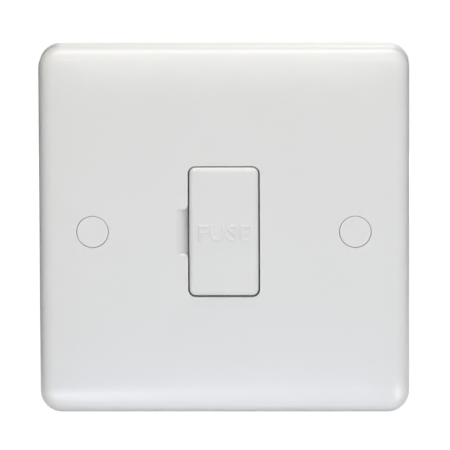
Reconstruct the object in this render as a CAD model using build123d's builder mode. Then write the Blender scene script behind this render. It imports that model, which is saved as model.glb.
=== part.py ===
from build123d import *

import math
import os

# A one-gang fused spur unit for a wall box, in millimetres.
# +Y runs into the wall, +Z is up and +X is to the right as seen from the front.
# The origin is the middle of the wall plane, midway between the two fixing screws.

# Wall plate
PLATE_SIZE = 85.0
PLATE_PROJECTION = 9.5
PLATE_CORNER = 5.0
EDGE_ROUND = 3.4
CROWN_REACH = 11.4
CROWN_RADIUS = 72.0
CROWN_CORNER = 9.0
CROWN_STEPS = 3
FRONT_WALL = 3.0
RIM_WALL = 2.4
CAVITY_ROUND = 2.2
RIB = 1.5
RIB_SETBACK = 2.0
EDGE_BREAK = 0.15

# Fixing screws and their covers
FIXING_CENTRES = 60.3
SCREW_RADIUS = 1.75
SCREW_NECK_RADIUS = 1.5
SCREW_HEAD_RADIUS = 3.2
SCREW_HEAD_RIM = 0.25
SCREW_HEAD_DOME = 0.6
SCREW_LENGTH = 25.0
SCREW_POINT = 0.8
THREAD_SETBACK = 0.5
SCREW_CLEARANCE = 0.35
HEAD_CLEARANCE = 0.2
HEAD_SINK = 0.9
HEAD_SEAT_GAP = 0.05
CAP_RADIUS = 3.6
CAP_HEIGHT = 2.6
CAP_WALL = 0.8
CAP_FACE = 1.2
CAP_ROUND = 0.15
CAP_GAP = 0.12
PILLAR_WALL = 1.5
PILLAR_SETBACK = 1.0
SLOT_WIDTH = 0.9
SLOT_DEPTH = 0.9

# Cartridge fuse
FUSE_LENGTH = 25.4
FUSE_RADIUS = 3.175
FUSE_CAP_LENGTH = 5.6
FUSE_CAP_WALL = 0.3
FUSE_CAP_ROUND = 0.4
FUSE_CAP_FIT = 0.02
FUSE_TUBE_WALL = 0.9
FUSE_ELEMENT_RADIUS = 0.35

# Pull-out carrier
CARRIER_WIDTH = 15.9
CARRIER_END_WALL = 1.95
CARRIER_SIDE_WALL = 1.4
CARRIER_FACE = 2.75
CARRIER_PROUD = 0.85
CARRIER_CORNER = 1.5
CARRIER_ROUND = 1.1
CARRIER_GAP = 0.3
FUSE_END_PLAY = 0.25
FUSE_FRONT_ROOM = 1.2
FUSE_REAR_ROOM = 0.6
CRADLE_WALL = 1.2
CRADLE_FIT = 0.15
CRADLE_LIP = 0.6
CRADLE_WRAP = 1.7
CRADLE_END_ROOM = 0.5
NOTCH_LENGTH = 10.2
NOTCH_WIDTH = 2.4
NOTCH_DEPTH = 2.2
NOTCH_DIP = 0.2
NOTCH_CORNER = 1.0
PRY_DEPTH = 0.7
PRY_HEIGHT = 1.3

# Fuse chamber in the plate
CHAMBER_WALL = 1.6
CHAMBER_FLOOR = 1.4
SKIRT = 1.6
SKIRT_CORNER = 1.0

# Contacts and links, cut and folded from one gauge of strip
SHEET = 0.8
STRAP_WIDTH = 5.0
STRAP_FIT = 0.15
LEAF_WIDTH = 4.6
LEAF_GRIP = 0.08
LEAF_SPREAD = 1.1
LEAF_TIP_SPREAD = 0.9
LEAF_TIP_REACH = 2.0
LEAF_BEND = 0.8
LEAF_SLOT_ROOM = 0.45

# Terminal blocks and their clamp screws
BLOCK_WIDTH = 7.2
BLOCK_LENGTH = 7.4
BLOCK_DEPTH = 8.0
BLOCK_EDGE = 0.4
BORE_RADIUS = 2.2
BORE_COVER = 1.0
BORE_TIP_ROOM = 0.1
CLAMP_RADIUS = 2.0
CLAMP_HEAD_RADIUS = 2.8
CLAMP_HEAD_HEIGHT = 1.8
CLAMP_SHANK = 5.0
CLAMP_FIT = 0.04
POCKET_FIT = 0.15

# Rear moulding
PARTITION = 0.9
ROW_GAP = 1.05
ENTRY_RECESS = 2.6
BASE_WALL = 1.7
BASE_BACK = 1.8
BASE_CORNER = 2.0
BASE_ROUND = 1.0
SHROUD_WALL = 1.0
SHROUD_HEIGHT = 2.6
BASE_SCREW_RADIUS = 1.45
BASE_SCREW_HEAD_RADIUS = 2.6
BASE_SCREW_HEAD_HEIGHT = 1.9
BASE_SCREW_HEAD_ROUND = 0.95
BASE_SCREW_LENGTH = 16.0
BASE_SCREW_FIT = 0.2
PILOT_FIT = 0.02
PILOT_ROOM = 0.8
BOSS_WALL = 1.45

# Depths, measured from the wall plane and negative towards the room
FACE_Y = -PLATE_PROJECTION
CAVITY_Y = FACE_Y + FRONT_WALL
CARRIER_Y = FACE_Y - CARRIER_PROUD
CARRIER_INNER_Y = CARRIER_Y + CARRIER_FACE
FUSE_Y = CARRIER_INNER_Y + FUSE_FRONT_ROOM + FUSE_RADIUS
FLOOR_Y = FUSE_Y + FUSE_RADIUS + FUSE_REAR_ROOM
JOIN_Y = FLOOR_Y + CHAMBER_FLOOR
POCKET_Y = JOIN_Y + SHEET + BLOCK_DEPTH
BACK_Y = POCKET_Y + BASE_BACK
SHROUD_Y = BACK_Y + SHROUD_HEIGHT
CAP_LEDGE_Y = FACE_Y + CAP_HEIGHT
HEAD_Y = CAP_LEDGE_Y + HEAD_SINK
PILLAR_Y = -PILLAR_SETBACK
RIB_Y = -RIB_SETBACK

# Widths and heights that follow from the sizes above
CAVITY_SIZE = PLATE_SIZE - 2 * RIM_WALL
CAVITY_CORNER = PLATE_CORNER - RIM_WALL
CAP_HOLE_RADIUS = CAP_RADIUS + CAP_GAP
PILLAR_RADIUS = CAP_HOLE_RADIUS + PILLAR_WALL
CARRIER_HEIGHT = FUSE_LENGTH + 2 * (FUSE_END_PLAY + CARRIER_END_WALL)
OPENING_WIDTH = CARRIER_WIDTH + 2 * CARRIER_GAP
OPENING_HEIGHT = CARRIER_HEIGHT + 2 * CARRIER_GAP
OPENING_CORNER = CARRIER_CORNER + CARRIER_GAP
CHAMBER_WIDTH = OPENING_WIDTH + 2 * CHAMBER_WALL
CHAMBER_HEIGHT = OPENING_HEIGHT + 2 * CHAMBER_WALL
FUSE_TUBE_RADIUS = FUSE_RADIUS - FUSE_CAP_WALL - FUSE_CAP_FIT
CLIP_Z = (FUSE_LENGTH - FUSE_CAP_LENGTH) / 2
LEAF_WAIST_X = FUSE_RADIUS + LEAF_GRIP + SHEET / 2
LEAF_FOOT_X = LEAF_WAIST_X + LEAF_SPREAD
LEAF_TIP_X = LEAF_WAIST_X + LEAF_TIP_SPREAD
BOSS_RADIUS = BASE_SCREW_RADIUS + BOSS_WALL
COLUMN_X = BLOCK_WIDTH + 2 * (POCKET_FIT + BOSS_RADIUS + PARTITION)
ROW_Z = CHAMBER_HEIGHT / 2 + ROW_GAP + POCKET_FIT + BLOCK_LENGTH / 2
BASE_WIDTH = 2 * COLUMN_X + BLOCK_WIDTH + 2 * (POCKET_FIT + BASE_WALL)
BASE_HEIGHT = 2 * ROW_Z + BLOCK_LENGTH + 2 * ENTRY_RECESS
SHROUD_RADIUS = CLAMP_HEAD_RADIUS + HEAD_CLEARANCE + SHROUD_WALL
STRAP_END_Z = ROW_Z + BLOCK_LENGTH / 2
CHANNEL_WIDTH = STRAP_WIDTH + 2 * STRAP_FIT

SIDES = (-1, 1)
BASE_SCREW_PLACES = [(i * COLUMN_X / 2, k * ROW_Z) for i in SIDES for k in SIDES]


def facing(y):
    """A plane parallel to the wall at depth y, with the room in front of it."""
    return Plane.XZ.offset(-y)


def along_y(x):
    """An axis square to the wall at x, on the level of the fixing screws."""
    return Axis((x, 0, 0), (0, 1, 0))


def save(piece, label):
    """Names a finished piece and writes it."""
    piece.part.label = label
    export_step(piece.part, f"parts/{label}.step")


def crown_drop(inset):
    """How far the plate's face has fallen at this distance in from the outline."""
    return CROWN_RADIUS - math.sqrt(CROWN_RADIUS**2 - (CROWN_REACH - inset) ** 2)


os.makedirs("parts", exist_ok=True)

# The notch beside the carrier curves down towards it, and its lips are rounded into the opening.
with BuildPart() as notch:
    lip_x = -OPENING_WIDTH / 2
    lip_z = NOTCH_LENGTH / 2 + NOTCH_CORNER
    with BuildSketch(Plane.XY):
        with BuildLine():
            TangentArc(
                (lip_x - NOTCH_WIDTH, FACE_Y),
                (lip_x, FACE_Y + NOTCH_DEPTH),
                tangent=(1, NOTCH_DIP),
            )
            Polyline(
                (lip_x, FACE_Y + NOTCH_DEPTH),
                (lip_x + CARRIER_GAP, FACE_Y + NOTCH_DEPTH),
                (lip_x + CARRIER_GAP, FACE_Y - EDGE_BREAK),
                (lip_x - NOTCH_WIDTH, FACE_Y - EDGE_BREAK),
                (lip_x - NOTCH_WIDTH, FACE_Y),
            )
        make_face()
    extrude(amount=lip_z, both=True)
    with BuildSketch(facing(FACE_Y + NOTCH_DEPTH)):
        with Locations((lip_x - NOTCH_WIDTH / 2, 0)):
            Rectangle(NOTCH_WIDTH, NOTCH_LENGTH)
        with Locations((lip_x + (CARRIER_GAP - NOTCH_CORNER) / 2, 0)):
            Rectangle(NOTCH_CORNER + CARRIER_GAP, 2 * lip_z)
        with Locations(*[(lip_x - NOTCH_CORNER, k * lip_z) for k in SIDES]):
            Circle(NOTCH_CORNER, mode=Mode.SUBTRACT)
    extrude(amount=NOTCH_DEPTH + EDGE_BREAK, mode=Mode.INTERSECT)

# The front plate is one moulding: a crowned shell with the fuse chamber, fixing pillars and screw bosses.
with BuildPart() as front_plate:
    brow_y = FACE_Y + crown_drop(0)
    with BuildSketch(facing(0)):
        RectangleRounded(PLATE_SIZE, PLATE_SIZE, PLATE_CORNER)
    extrude(amount=-brow_y)
    for step in range(CROWN_STEPS + 1):
        part_way = step / CROWN_STEPS
        inset = CROWN_REACH * part_way
        corner = PLATE_CORNER + (CROWN_CORNER - PLATE_CORNER) * part_way
        with BuildSketch(facing(FACE_Y + crown_drop(inset))):
            RectangleRounded(PLATE_SIZE - 2 * inset, PLATE_SIZE - 2 * inset, corner)
    loft()
    fillet(front_plate.edges().filter_by_position(Axis.Y, brow_y, brow_y), EDGE_ROUND)
    with BuildSketch(facing(0)):
        RectangleRounded(CAVITY_SIZE, CAVITY_SIZE, CAVITY_CORNER)
    extrude(amount=-CAVITY_Y, mode=Mode.SUBTRACT)
    fillet(front_plate.edges().filter_by_position(Axis.Y, CAVITY_Y, CAVITY_Y), CAVITY_ROUND)

    # Chamber, skirt that meets the rear moulding, and screw bosses
    with BuildSketch(facing(JOIN_Y)):
        RectangleRounded(BASE_WIDTH, BASE_HEIGHT, BASE_CORNER)
        RectangleRounded(BASE_WIDTH - 2 * SKIRT, BASE_HEIGHT - 2 * SKIRT, SKIRT_CORNER, mode=Mode.SUBTRACT)
        RectangleRounded(CHAMBER_WIDTH, CHAMBER_HEIGHT, OPENING_CORNER + CHAMBER_WALL)
        with Locations(*BASE_SCREW_PLACES):
            Circle(BOSS_RADIUS)
        # Ribs that press the straps and blocks into the rear moulding
        for x in (-COLUMN_X, 0, COLUMN_X):
            with Locations((x, 0)):
                Rectangle(RIB, BASE_HEIGHT - 2 * SKIRT)
    extrude(amount=JOIN_Y - CAVITY_Y)

    # Fixing pillars, and ribs that tie them, the skirt and the rim together
    with BuildSketch(facing(PILLAR_Y)):
        with Locations(*[(i * FIXING_CENTRES / 2, 0) for i in SIDES]):
            Circle(PILLAR_RADIUS)
    extrude(amount=PILLAR_Y - CAVITY_Y)
    with BuildSketch(facing(RIB_Y)):
        for i in SIDES:
            with Locations((i * (BASE_WIDTH + CAVITY_SIZE) / 4, 0)):
                Rectangle((CAVITY_SIZE - BASE_WIDTH) / 2, RIB)
            for k in SIDES:
                with Locations((i * COLUMN_X, k * (BASE_HEIGHT + CAVITY_SIZE) / 4)):
                    Rectangle(RIB, (CAVITY_SIZE - BASE_HEIGHT) / 2)
    extrude(amount=RIB_Y - CAVITY_Y)

    # Opening for the carrier, closed by the chamber floor
    with BuildSketch(facing(FLOOR_Y)):
        RectangleRounded(OPENING_WIDTH, OPENING_HEIGHT, OPENING_CORNER)
    extrude(amount=FLOOR_Y - FACE_Y, mode=Mode.SUBTRACT)

    # Slots in the chamber floor for the leaves of the two clips
    with BuildSketch(facing(JOIN_Y)):
        for k in SIDES:
            for i in SIDES:
                with Locations((i * LEAF_FOOT_X, k * CLIP_Z)):
                    Rectangle(SHEET + 2 * LEAF_SLOT_ROOM, LEAF_WIDTH + 2 * LEAF_SLOT_ROOM)
    extrude(amount=CHAMBER_FLOOR, mode=Mode.SUBTRACT)

    # Pilot holes for the screws of the rear moulding
    with BuildSketch(facing(JOIN_Y)):
        with Locations(*BASE_SCREW_PLACES):
            Circle(BASE_SCREW_RADIUS + PILOT_FIT)
    extrude(amount=BASE_SCREW_LENGTH - (BACK_Y - JOIN_Y) + PILOT_ROOM, mode=Mode.SUBTRACT)

    # Stepped bore for a cover, a sunk screw head and its shank
    for i in SIDES:
        middle = i * FIXING_CENTRES / 2
        hole = SCREW_RADIUS + SCREW_CLEARANCE
        head = SCREW_HEAD_RADIUS + HEAD_CLEARANCE
        cone_y = HEAD_Y + SCREW_HEAD_RIM + HEAD_SEAT_GAP + SCREW_HEAD_RADIUS
        bore = [
            (0, FACE_Y),
            (CAP_HOLE_RADIUS, FACE_Y),
            (CAP_HOLE_RADIUS, CAP_LEDGE_Y),
            (head, CAP_LEDGE_Y),
            (head, cone_y - head),
            (hole, cone_y - hole),
            (hole, PILLAR_Y),
            (0, PILLAR_Y),
        ]
        with BuildSketch(Plane.XY):
            with BuildLine():
                Polyline(*[(middle + r, y) for r, y in bore], close=True)
            make_face()
        revolve(axis=along_y(middle), mode=Mode.SUBTRACT)

    # Soft edge round the opening
    front_face = front_plate.faces().filter_by(Axis.Y).sort_by(Axis.Y)[0]
    fillet([e for w in front_face.inner_wires() for e in w.edges()], EDGE_BREAK)

    # Notch for a fingernail or a blade
    add(notch.part, mode=Mode.SUBTRACT)
save(front_plate, "front_plate")

# Two round covers snap over the fixing screws: shallow cups, open to the back.
for i, name in zip(SIDES, ("left", "right")):
    with BuildPart() as screw_cap:
        middle = i * FIXING_CENTRES / 2
        with BuildSketch(Plane.XY):
            with BuildLine():
                Polyline(
                    (middle, FACE_Y),
                    (middle + CAP_RADIUS, FACE_Y),
                    (middle + CAP_RADIUS, CAP_LEDGE_Y),
                    (middle + CAP_RADIUS - CAP_WALL, CAP_LEDGE_Y),
                    (middle + CAP_RADIUS - CAP_WALL, FACE_Y + CAP_FACE),
                    (middle, FACE_Y + CAP_FACE),
                    close=True,
                )
            make_face()
        revolve(axis=along_y(middle))
        fillet(screw_cap.edges().filter_by_position(Axis.Y, FACE_Y, FACE_Y), CAP_ROUND)
    save(screw_cap, f"screw_cap_{name}")

# Two raised countersunk fixing screws with a plain neck, which reach into the wall box.
with BuildPart() as fixing_screws:
    for i in SIDES:
        middle = i * FIXING_CENTRES / 2
        seat = HEAD_Y + SCREW_HEAD_RIM
        neck = seat + SCREW_HEAD_RADIUS - SCREW_NECK_RADIUS
        thread = -THREAD_SETBACK
        tip = HEAD_Y + SCREW_LENGTH
        with BuildSketch(Plane.XY):
            with BuildLine():
                TangentArc(
                    (middle, HEAD_Y - SCREW_HEAD_DOME),
                    (middle + SCREW_HEAD_RADIUS, HEAD_Y),
                    tangent=(1, 0),
                )
                Polyline(
                    (middle + SCREW_HEAD_RADIUS, HEAD_Y),
                    (middle + SCREW_HEAD_RADIUS, seat),
                    (middle + SCREW_NECK_RADIUS, neck),
                    (middle + SCREW_NECK_RADIUS, thread),
                    (middle + SCREW_RADIUS, thread),
                    (middle + SCREW_RADIUS, tip - SCREW_POINT),
                    (middle + SCREW_RADIUS - SCREW_POINT, tip),
                    (middle, tip),
                    (middle, HEAD_Y - SCREW_HEAD_DOME),
                )
            make_face()
        revolve(axis=along_y(middle))
    with BuildSketch(facing(HEAD_Y - SCREW_HEAD_DOME + SLOT_DEPTH)):
        with Locations(*[(i * FIXING_CENTRES / 2, 0) for i in SIDES]):
            Rectangle(2 * SCREW_HEAD_RADIUS, SLOT_WIDTH)
    extrude(amount=SLOT_DEPTH, mode=Mode.SUBTRACT)
save(fixing_screws, "fixing_screws")

# The carrier is a drawer, open at the back, with a saddle that the fuse snaps into.
with BuildPart() as fuse_carrier:
    with BuildSketch(facing(FLOOR_Y)):
        RectangleRounded(CARRIER_WIDTH, CARRIER_HEIGHT, CARRIER_CORNER)
    extrude(amount=FLOOR_Y - CARRIER_Y)
    fillet(fuse_carrier.edges().filter_by_position(Axis.Y, CARRIER_Y, CARRIER_Y), CARRIER_ROUND)
    with BuildSketch(facing(FLOOR_Y)):
        Rectangle(CARRIER_WIDTH - 2 * CARRIER_SIDE_WALL, CARRIER_HEIGHT - 2 * CARRIER_END_WALL)
    extrude(amount=FLOOR_Y - CARRIER_INNER_Y, mode=Mode.SUBTRACT)
    saddle_radius = FUSE_TUBE_RADIUS + CRADLE_FIT
    saddle_y = FUSE_Y + CRADLE_WRAP
    with BuildSketch(Plane.XY):
        with Locations((0, (CARRIER_INNER_Y + saddle_y) / 2)):
            Rectangle(2 * (saddle_radius + CRADLE_WALL), saddle_y - CARRIER_INNER_Y)
        with Locations((0, FUSE_Y)):
            Circle(saddle_radius, mode=Mode.SUBTRACT)
        with Locations((0, (FUSE_Y + saddle_y) / 2)):
            Rectangle(2 * (saddle_radius - CRADLE_LIP), saddle_y - FUSE_Y, mode=Mode.SUBTRACT)
    extrude(amount=FUSE_LENGTH / 2 - FUSE_CAP_LENGTH - CRADLE_END_ROOM, both=True)
    # A groove in the side, under the notch in the plate, takes the blade
    with BuildSketch(Plane.XY):
        with Locations((-CARRIER_WIDTH / 2, FACE_Y + NOTCH_DEPTH - PRY_HEIGHT / 2)):
            Rectangle(2 * PRY_DEPTH, PRY_HEIGHT)
    extrude(amount=NOTCH_LENGTH / 2, both=True, mode=Mode.SUBTRACT)
save(fuse_carrier, "fuse_carrier")

# The cartridge fuse: a ceramic tube, a pressed cap on each end, and the wire between the caps.
with BuildPart() as fuse_tube:
    tube_length = FUSE_LENGTH - 2 * FUSE_CAP_WALL
    with BuildSketch(Plane.XY.offset(-tube_length / 2)):
        with Locations((0, FUSE_Y)):
            Circle(FUSE_TUBE_RADIUS)
            Circle(FUSE_TUBE_RADIUS - FUSE_TUBE_WALL, mode=Mode.SUBTRACT)
    extrude(amount=tube_length)
save(fuse_tube, "fuse_tube")

for k, name in zip(SIDES, ("lower", "upper")):
    with BuildPart() as fuse_end_cap:
        with BuildSketch(Plane.XY.offset(k * FUSE_LENGTH / 2)):
            with Locations((0, FUSE_Y)):
                Circle(FUSE_RADIUS)
        extrude(amount=-k * FUSE_CAP_LENGTH)
        outer_edge = fuse_end_cap.edges().filter_by_position(Axis.Z, k * FUSE_LENGTH / 2, k * FUSE_LENGTH / 2)
        fillet(outer_edge, FUSE_CAP_ROUND)
        with BuildSketch(Plane.XY.offset(k * (FUSE_LENGTH / 2 - FUSE_CAP_WALL))):
            with Locations((0, FUSE_Y)):
                Circle(FUSE_TUBE_RADIUS + FUSE_CAP_FIT)
        extrude(amount=-k * FUSE_CAP_LENGTH, mode=Mode.SUBTRACT)
    save(fuse_end_cap, f"fuse_end_cap_{name}")

with BuildPart() as fuse_element:
    with BuildSketch(Plane.XY.offset(-tube_length / 2)):
        with Locations((0, FUSE_Y)):
            Circle(FUSE_ELEMENT_RADIUS)
    extrude(amount=tube_length)
save(fuse_element, "fuse_element")

# Each live contact is a spring clip round one fuse cap, with a strap to its terminal block.
for k, name in zip(SIDES, ("load", "supply")):
    with BuildPart() as live_contact:
        base_y = JOIN_Y + SHEET / 2
        right_leaf = [
            (LEAF_FOOT_X, base_y),
            (LEAF_FOOT_X, FLOOR_Y),
            (LEAF_WAIST_X, FUSE_Y),
            (LEAF_TIP_X, FUSE_Y - LEAF_TIP_REACH),
        ]
        left_leaf = [(-x, y) for x, y in reversed(right_leaf)]
        with BuildSketch(Plane.XY.offset(k * CLIP_Z)):
            with BuildLine():
                FilletPolyline(*left_leaf, *right_leaf, radius=LEAF_BEND)
            trace(line_width=SHEET)
        extrude(amount=LEAF_WIDTH / 2, both=True)
        strap_z = (CLIP_Z - LEAF_WIDTH / 2 + STRAP_END_Z) / 2
        with BuildSketch(facing(JOIN_Y + SHEET)):
            with Locations(((LEAF_FOOT_X + COLUMN_X) / 2, k * CLIP_Z)):
                Rectangle(COLUMN_X - LEAF_FOOT_X + LEAF_BEND, LEAF_WIDTH)
            with Locations((COLUMN_X, k * strap_z)):
                Rectangle(STRAP_WIDTH, STRAP_END_Z - CLIP_Z + LEAF_WIDTH / 2)
        extrude(amount=SHEET)
    save(live_contact, f"live_{name}_contact")

# The neutral link lies in front of its two blocks, and the earth link behind its own.
with BuildPart() as neutral_link:
    with BuildSketch(facing(JOIN_Y + SHEET)):
        with Locations((-COLUMN_X, 0)):
            Rectangle(STRAP_WIDTH, 2 * STRAP_END_Z)
    extrude(amount=SHEET)
save(neutral_link, "neutral_link")

with BuildPart() as earth_link:
    with BuildSketch(facing(POCKET_Y)):
        Rectangle(STRAP_WIDTH, 2 * STRAP_END_Z)
        with Locations(*[(0, k * ROW_Z) for k in SIDES]):
            Circle(CLAMP_RADIUS + CLAMP_FIT, mode=Mode.SUBTRACT)
    extrude(amount=SHEET)
save(earth_link, "earth_link")

# Six brass blocks, each with a wire bore towards the nearer end and a tapped hole from behind.
TERMINALS = [
    ("neutral", -COLUMN_X, JOIN_Y + SHEET),
    ("earth", 0, JOIN_Y),
    ("live", COLUMN_X, JOIN_Y + SHEET),
]
for pole, x, block_y in TERMINALS:
    for k, name in zip(SIDES, ("load", "supply")):
        with BuildPart() as terminal:
            with BuildSketch(facing(block_y + BLOCK_DEPTH)):
                with Locations((x, k * ROW_Z)):
                    Rectangle(BLOCK_WIDTH, BLOCK_LENGTH)
            extrude(amount=BLOCK_DEPTH)
            chamfer(terminal.edges().filter_by(Axis.Z), BLOCK_EDGE)
            with BuildSketch(Plane.XY.offset(k * (ROW_Z - BLOCK_LENGTH / 2))):
                with Locations((x, block_y + BORE_COVER + BORE_RADIUS)):
                    Circle(BORE_RADIUS)
            extrude(amount=k * BLOCK_LENGTH, mode=Mode.SUBTRACT)
            with BuildSketch(facing(block_y + BLOCK_DEPTH)):
                with Locations((x, k * ROW_Z)):
                    Circle(CLAMP_RADIUS + CLAMP_FIT)
            extrude(amount=BLOCK_DEPTH - BORE_COVER - BORE_RADIUS, mode=Mode.SUBTRACT)
        save(terminal, f"{pole}_{name}_terminal")

# Clamp screws, backed out until their tips clear the wire bores.
with BuildPart() as terminal_screws:
    for pole, x, block_y in TERMINALS:
        tip_y = block_y + BORE_COVER + 2 * BORE_RADIUS + BORE_TIP_ROOM
        head_y = tip_y + CLAMP_SHANK + CLAMP_HEAD_HEIGHT
        places = [(x, k * ROW_Z) for k in SIDES]
        with BuildSketch(facing(head_y)):
            with Locations(*places):
                Circle(CLAMP_RADIUS)
        extrude(amount=head_y - tip_y)
        with BuildSketch(facing(head_y)):
            with Locations(*places):
                Circle(CLAMP_HEAD_RADIUS)
        extrude(amount=CLAMP_HEAD_HEIGHT)
        with BuildSketch(facing(head_y)):
            with Locations(*places):
                Rectangle(2 * CLAMP_HEAD_RADIUS, SLOT_WIDTH)
        extrude(amount=SLOT_DEPTH, mode=Mode.SUBTRACT)
save(terminal_screws, "terminal_screws")

# The rear moulding: pockets for the blocks, channels for the strips, and a shroud round each clamp screw.
with BuildPart() as terminal_base:
    with BuildSketch(facing(BACK_Y)):
        RectangleRounded(BASE_WIDTH, BASE_HEIGHT, BASE_CORNER)
    extrude(amount=BACK_Y - JOIN_Y)
    fillet(terminal_base.edges().filter_by_position(Axis.Y, BACK_Y, BACK_Y), BASE_ROUND)
    with BuildSketch(facing(SHROUD_Y)):
        for x in (-COLUMN_X, 0, COLUMN_X):
            with Locations(*[(x, k * ROW_Z) for k in SIDES]):
                Circle(SHROUD_RADIUS)
    extrude(amount=SHROUD_HEIGHT + BASE_BACK)
    # Pockets run out through the ends, which lets the wires in
    pocket_length = BLOCK_LENGTH + POCKET_FIT + ENTRY_RECESS
    pocket_z = BASE_HEIGHT / 2 - pocket_length / 2
    with BuildSketch(facing(POCKET_Y)):
        for x in (-COLUMN_X, 0, COLUMN_X):
            with Locations(*[(x, k * pocket_z) for k in SIDES]):
                Rectangle(BLOCK_WIDTH + 2 * POCKET_FIT, pocket_length)
        Rectangle(CHANNEL_WIDTH, 2 * ROW_Z)
    extrude(amount=POCKET_Y - JOIN_Y, mode=Mode.SUBTRACT)
    # Shallow channels for the neutral link and the live straps
    with BuildSketch(facing(JOIN_Y + SHEET)):
        with Locations((-COLUMN_X, 0)):
            Rectangle(CHANNEL_WIDTH, 2 * ROW_Z)
        clip_left = LEAF_FOOT_X + LEAF_BEND + STRAP_FIT
        for k in SIDES:
            with Locations(((COLUMN_X - clip_left) / 2, k * CLIP_Z)):
                Rectangle(COLUMN_X + clip_left, LEAF_WIDTH + 2 * STRAP_FIT)
            with Locations((COLUMN_X, k * (CLIP_Z - LEAF_WIDTH / 2 - STRAP_FIT + ROW_Z) / 2)):
                Rectangle(CHANNEL_WIDTH, ROW_Z - CLIP_Z + LEAF_WIDTH / 2 + STRAP_FIT)
    extrude(amount=SHEET, mode=Mode.SUBTRACT)
    # Ways through for the clamp screws and the moulding's own screws
    with BuildSketch(facing(SHROUD_Y)):
        for x in (-COLUMN_X, 0, COLUMN_X):
            with Locations(*[(x, k * ROW_Z) for k in SIDES]):
                Circle(CLAMP_HEAD_RADIUS + HEAD_CLEARANCE)
    extrude(amount=SHROUD_Y - POCKET_Y, mode=Mode.SUBTRACT)
    with BuildSketch(facing(BACK_Y)):
        with Locations(*BASE_SCREW_PLACES):
            Circle(BASE_SCREW_RADIUS + BASE_SCREW_FIT)
    extrude(amount=BACK_Y - JOIN_Y, mode=Mode.SUBTRACT)
save(terminal_base, "terminal_base")

# Four pan-head screws hold the rear moulding to the bosses of the plate.
with BuildPart() as base_screws:
    with BuildSketch(facing(BACK_Y)):
        with Locations(*BASE_SCREW_PLACES):
            Circle(BASE_SCREW_RADIUS)
    extrude(amount=BASE_SCREW_LENGTH)
    with BuildSketch(facing(BACK_Y + BASE_SCREW_HEAD_HEIGHT)):
        with Locations(*BASE_SCREW_PLACES):
            Circle(BASE_SCREW_HEAD_RADIUS)
    extrude(amount=BASE_SCREW_HEAD_HEIGHT)
    rear = BACK_Y + BASE_SCREW_HEAD_HEIGHT
    fillet(base_screws.edges().filter_by_position(Axis.Y, rear, rear), BASE_SCREW_HEAD_ROUND)
    with BuildSketch(facing(rear)):
        with Locations(*BASE_SCREW_PLACES):
            Rectangle(BASE_SCREW_HEAD_RADIUS, SLOT_WIDTH)
            Rectangle(SLOT_WIDTH, BASE_SCREW_HEAD_RADIUS)
    extrude(amount=SLOT_DEPTH, mode=Mode.SUBTRACT)
save(base_screws, "base_screws")
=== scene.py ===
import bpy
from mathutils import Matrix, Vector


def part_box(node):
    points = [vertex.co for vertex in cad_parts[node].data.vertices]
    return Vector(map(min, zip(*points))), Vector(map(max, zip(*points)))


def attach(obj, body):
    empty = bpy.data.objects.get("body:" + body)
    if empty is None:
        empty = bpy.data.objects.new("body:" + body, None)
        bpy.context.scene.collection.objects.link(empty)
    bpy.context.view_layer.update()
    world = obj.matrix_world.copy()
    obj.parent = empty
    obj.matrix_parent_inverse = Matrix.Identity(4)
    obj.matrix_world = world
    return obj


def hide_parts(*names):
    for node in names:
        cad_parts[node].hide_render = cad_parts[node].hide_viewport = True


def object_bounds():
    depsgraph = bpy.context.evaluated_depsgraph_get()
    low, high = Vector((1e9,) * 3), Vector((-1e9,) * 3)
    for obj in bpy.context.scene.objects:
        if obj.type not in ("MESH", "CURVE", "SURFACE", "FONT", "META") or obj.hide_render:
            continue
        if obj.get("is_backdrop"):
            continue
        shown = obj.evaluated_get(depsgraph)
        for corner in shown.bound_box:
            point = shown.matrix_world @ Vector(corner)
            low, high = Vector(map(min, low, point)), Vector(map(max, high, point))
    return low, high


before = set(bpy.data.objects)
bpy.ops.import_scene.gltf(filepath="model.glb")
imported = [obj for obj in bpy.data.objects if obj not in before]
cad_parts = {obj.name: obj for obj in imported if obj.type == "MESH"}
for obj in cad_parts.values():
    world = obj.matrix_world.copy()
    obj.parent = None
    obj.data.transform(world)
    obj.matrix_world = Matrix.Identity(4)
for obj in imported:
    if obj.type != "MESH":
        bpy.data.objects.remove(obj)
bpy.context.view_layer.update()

import logging
import math
from dataclasses import dataclass
from enum import Enum
from typing import Any, Protocol

import bmesh
import bpy
from mathutils import Matrix, Vector
from mathutils.kdtree import KDTree

LOG = logging.getLogger("fused_spur_unit")
MM = 0.001
WELD = 0.001 * MM
SIDES = (-1, 1)
WHITE = (1.0, 1.0, 1.0, 1.0)
Colour = tuple[float, float, float]
Point = tuple[float, float, float]
Sockets = dict[str | int, Any]


def mm(*sizes: float) -> tuple[float, ...]:
    """Turns millimetres into the scene's metres."""
    return tuple(size * MM for size in sizes)


class Body(Enum):
    """Rigid bodies that carry the scene's own pieces."""

    UNIT = "unit"
    CARRIER = "carrier"


class Slot(Enum):
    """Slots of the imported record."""

    PLATE = "plate_plastic"
    CARRIER = "carrier_plastic"
    BASE = "base_plastic"
    STEEL = "plated_steel"


class Pole(Enum):
    """Conductors of the unit, each with its mark and its column's side."""

    NEUTRAL = ("N", -1)
    EARTH = ("E", 0)
    LIVE = ("L", 1)

    @property
    def mark(self) -> str:
        """The letter moulded beside the terminal."""
        return self.value[0]

    @property
    def side(self) -> int:
        """Which column the terminal stands in, from left to right."""
        return self.value[1]


class WireEnd(Enum):
    """Ends of a conductor's path, each with its row's side."""

    SUPPLY = 1
    LOAD = -1


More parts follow.
